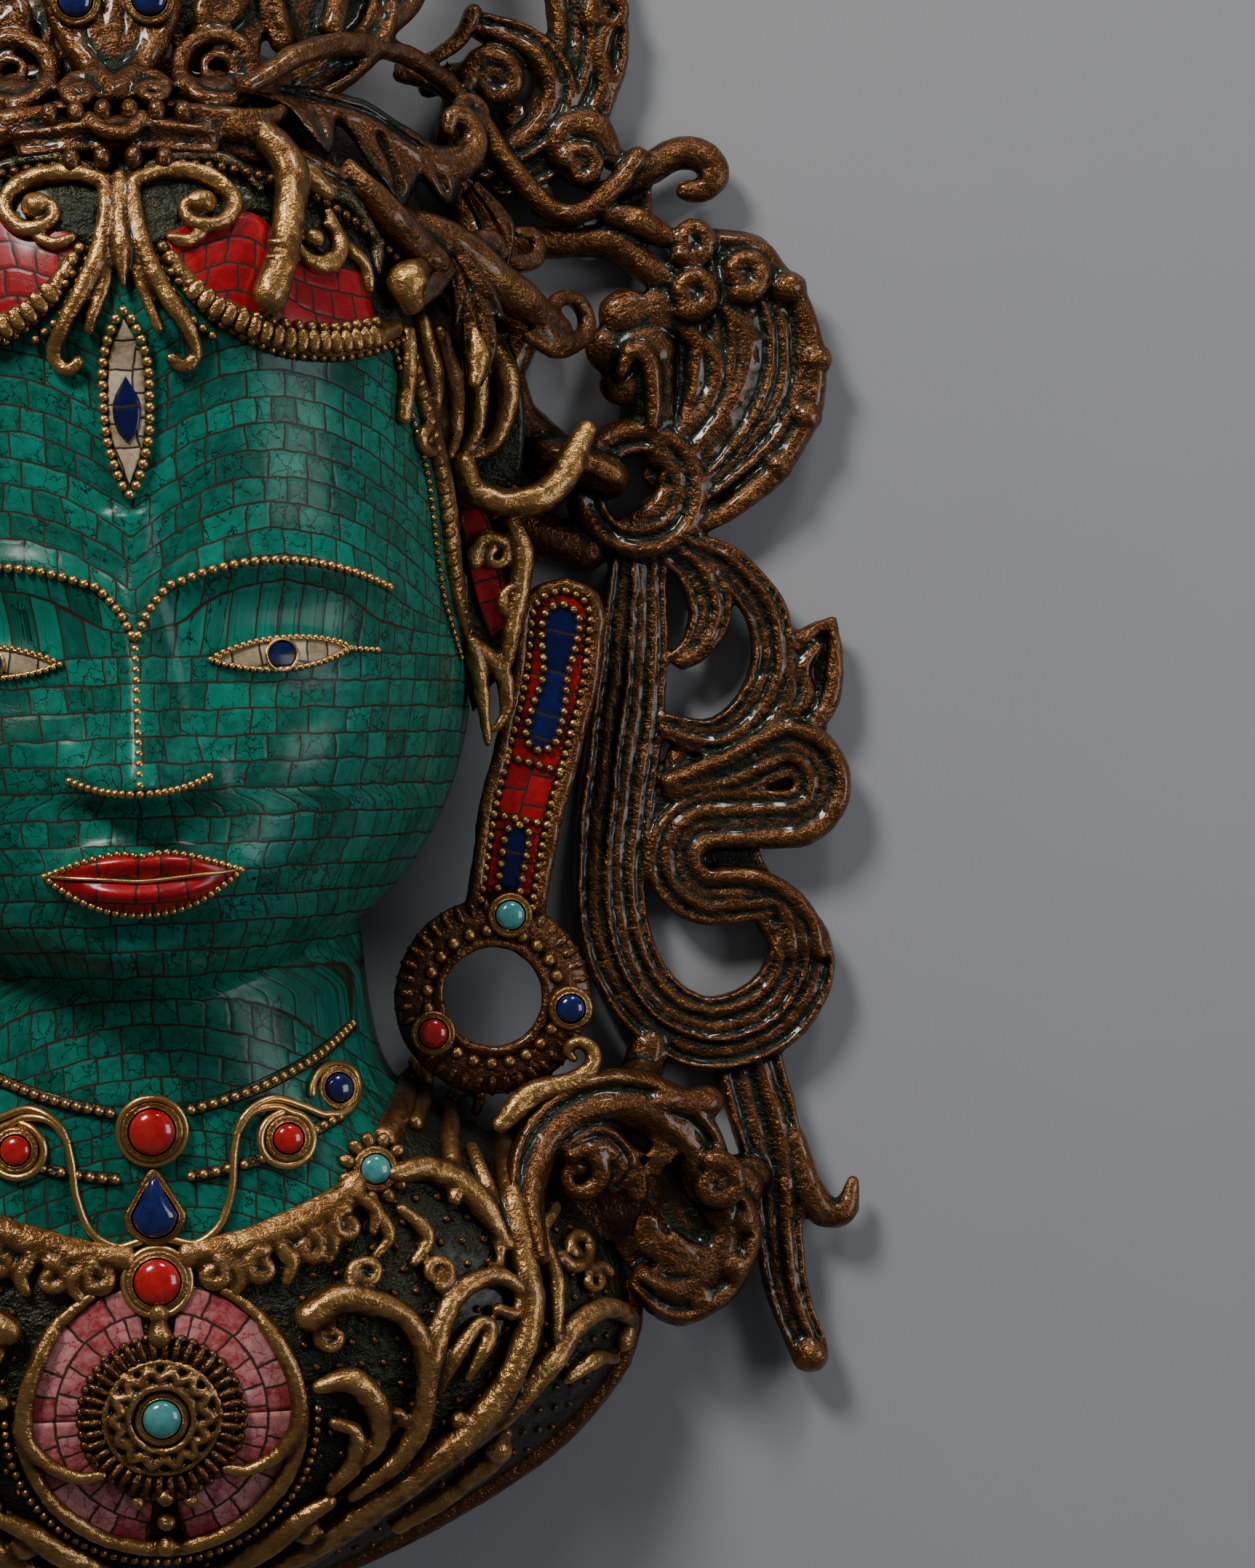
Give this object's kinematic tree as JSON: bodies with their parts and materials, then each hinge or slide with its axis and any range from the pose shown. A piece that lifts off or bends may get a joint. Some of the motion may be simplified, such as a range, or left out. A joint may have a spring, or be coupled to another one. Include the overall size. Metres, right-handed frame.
{
  "type": "inlaid mask",
  "caption": "Hollow cast metal mask of a crowned deity with bust, openwork side scrolls and ear drops, inlaid with stone mosaic and set with cabochons; it lies on its open back.",
  "frame": {"origin": "on the floor plane under the middle of the mask's outline, halfway between the tip of the bust and the tip of the crown", "axes": "+Z out of the face, +Y towards the crown, +X to the right side of the mask as seen from the front; the open back lies on z = 0"},
  "size_m": [0.3034, 0.4344, 0.097],
  "materials": {
    "bronze": "cast bronze with a dark brown patina, worn bright on high points",
    "inlaid_shell": "green stone mosaic polished over a cast metal shell with golden brown ornament",
    "coral": "polished red coral",
    "lapis": "polished blue lapis",
    "turquoise": "polished turquoise"
  },
  "bodies": {
    "root": {"collar_turquoise_left": "turquoise", "collar_turquoise_right": "turquoise", "crown": "bronze", "crown_coral": "coral", "crown_lapis_left": "lapis", "crown_lapis_right": "lapis", "ear_coral_left": "coral", "ear_coral_right": "coral", "ear_drop_left": "bronze", "ear_drop_right": "bronze", "ear_lapis_left": "lapis", "ear_lapis_right": "lapis", "ear_turquoise_left": "turquoise", "ear_turquoise_right": "turquoise", "mask_shell": "inlaid_shell", "pendant_turquoise": "turquoise", "side_scroll_left": "bronze", "side_scroll_right": "bronze", "throat_coral_left": "coral", "throat_coral_lower": "coral", "throat_coral_right": "coral", "throat_coral_upper": "coral", "throat_lapis_drop": "lapis", "throat_lapis_left": "lapis", "throat_lapis_right": "lapis"}
  },
  "joints": []
}
